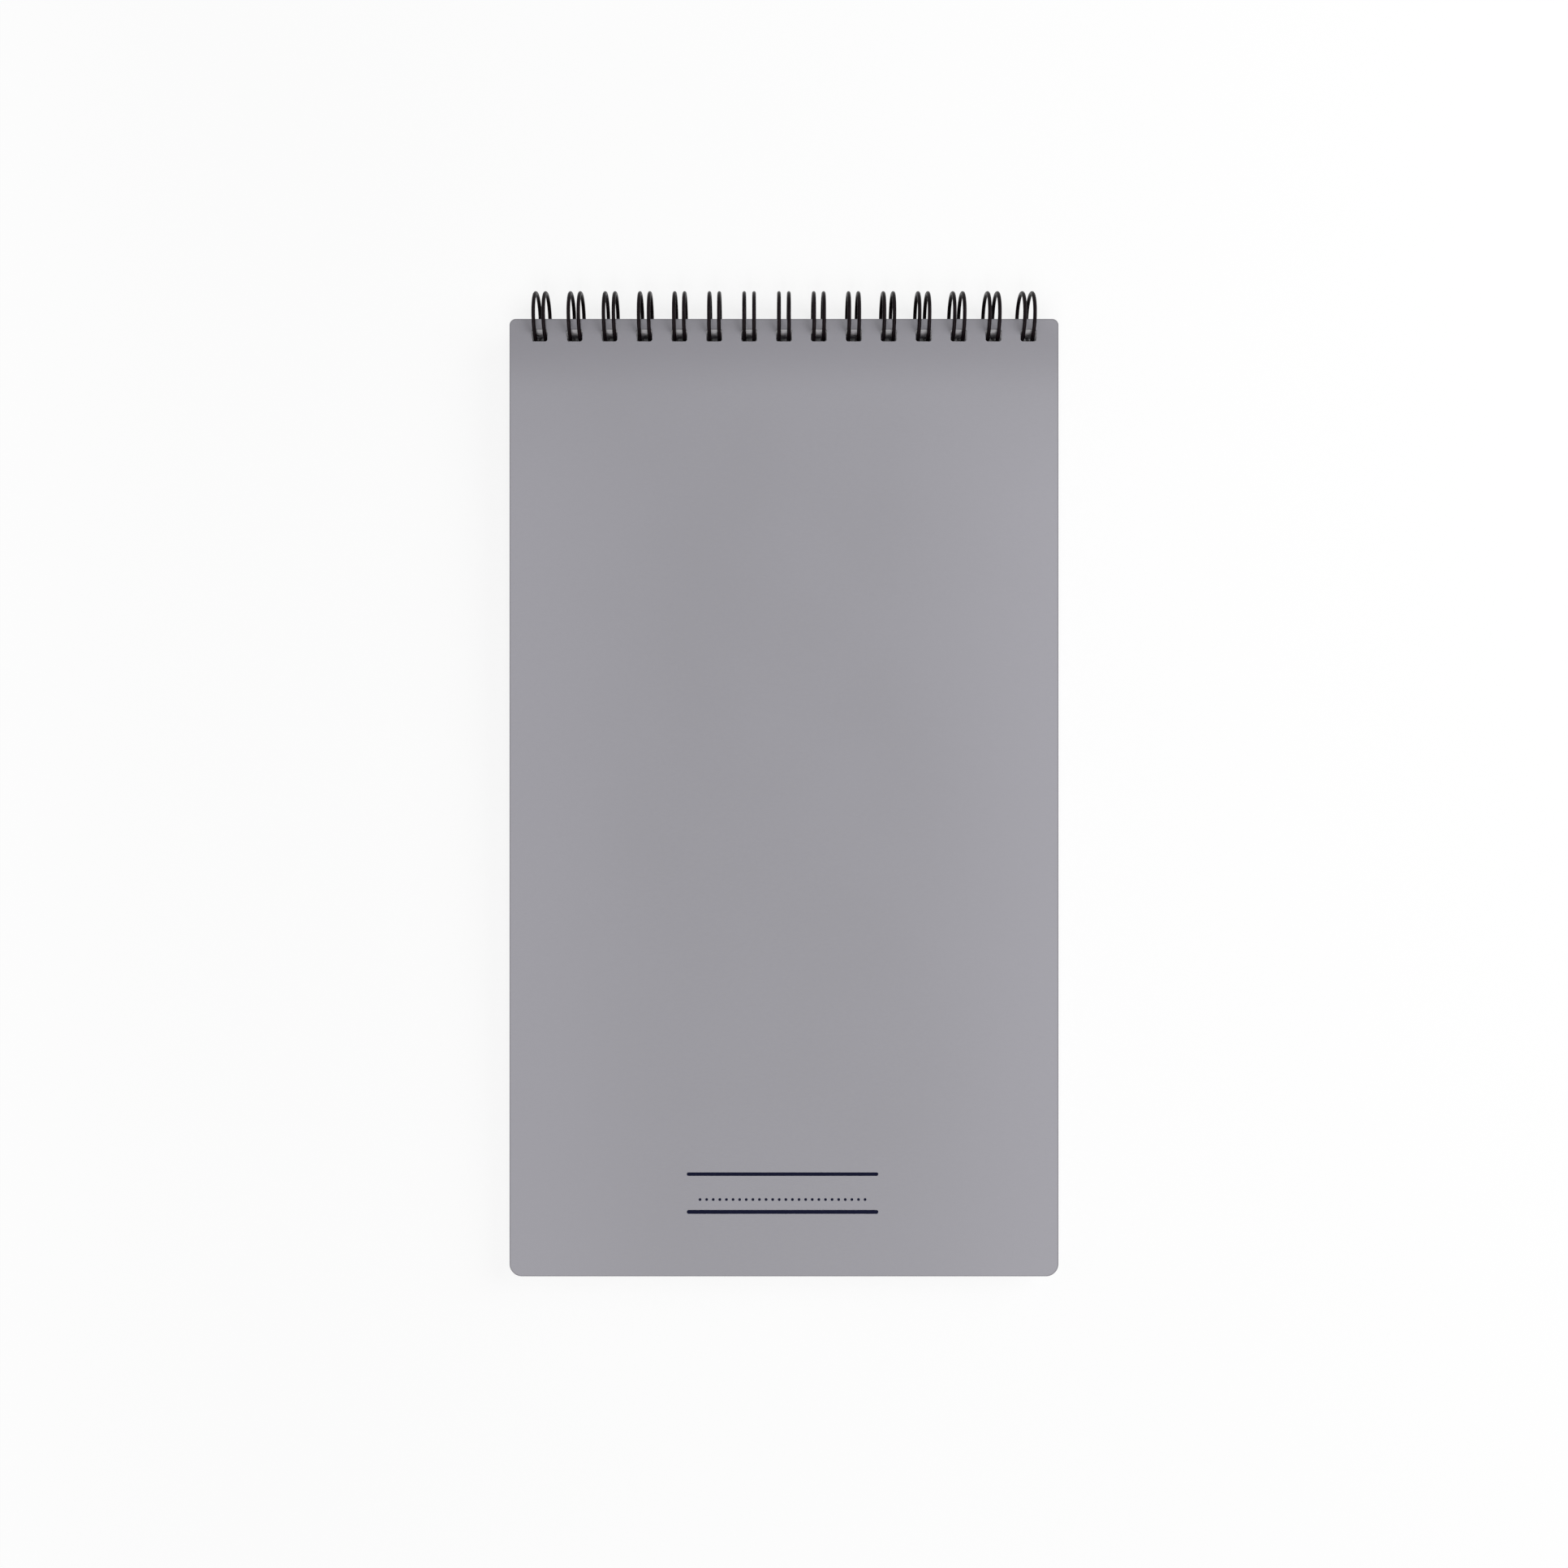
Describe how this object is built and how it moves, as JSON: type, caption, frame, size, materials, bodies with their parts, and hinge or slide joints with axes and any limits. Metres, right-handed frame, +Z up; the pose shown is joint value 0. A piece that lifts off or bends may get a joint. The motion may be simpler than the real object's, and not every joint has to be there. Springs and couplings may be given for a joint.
{
  "type": "engineering notebook",
  "caption": "Top-bound pocket notebook: thin plastic covers and a block of pages, punched along the head, turn on a closed wire comb of paired round loops.",
  "frame": {"origin": "on the table, under the middle of the whole notebook as it rests", "axes": "+Z up out of the front cover, +Y along the notebook towards the wire binding, +X across it to the right as the front cover is read"},
  "size_m": [0.133, 0.2398, 0.0129],
  "materials": {
    "cover_plastic": "matte",
    "paper": "matte",
    "black_wire": "satin"
  },
  "bodies": {
    "back": {"back_cover": "cover_plastic"},
    "book": {"page_block": "paper", "twin_loop_wire": "black_wire"},
    "front": {"front_cover": "cover_plastic"}
  },
  "joints": [
    {"name": "pages_turn", "type": "hinge", "parent": "back", "child": "book", "pos_m": [0, 0.11342, 0.00645], "axis": [-1, 0, 0], "range_deg": [0, 181.5]},
    {"name": "front_cover_turn", "type": "hinge", "parent": "book", "child": "front", "pos_m": [0, 0.11342, 0.00645], "axis": [-1, 0, 0], "range_deg": [0, 181.5]}
  ]
}
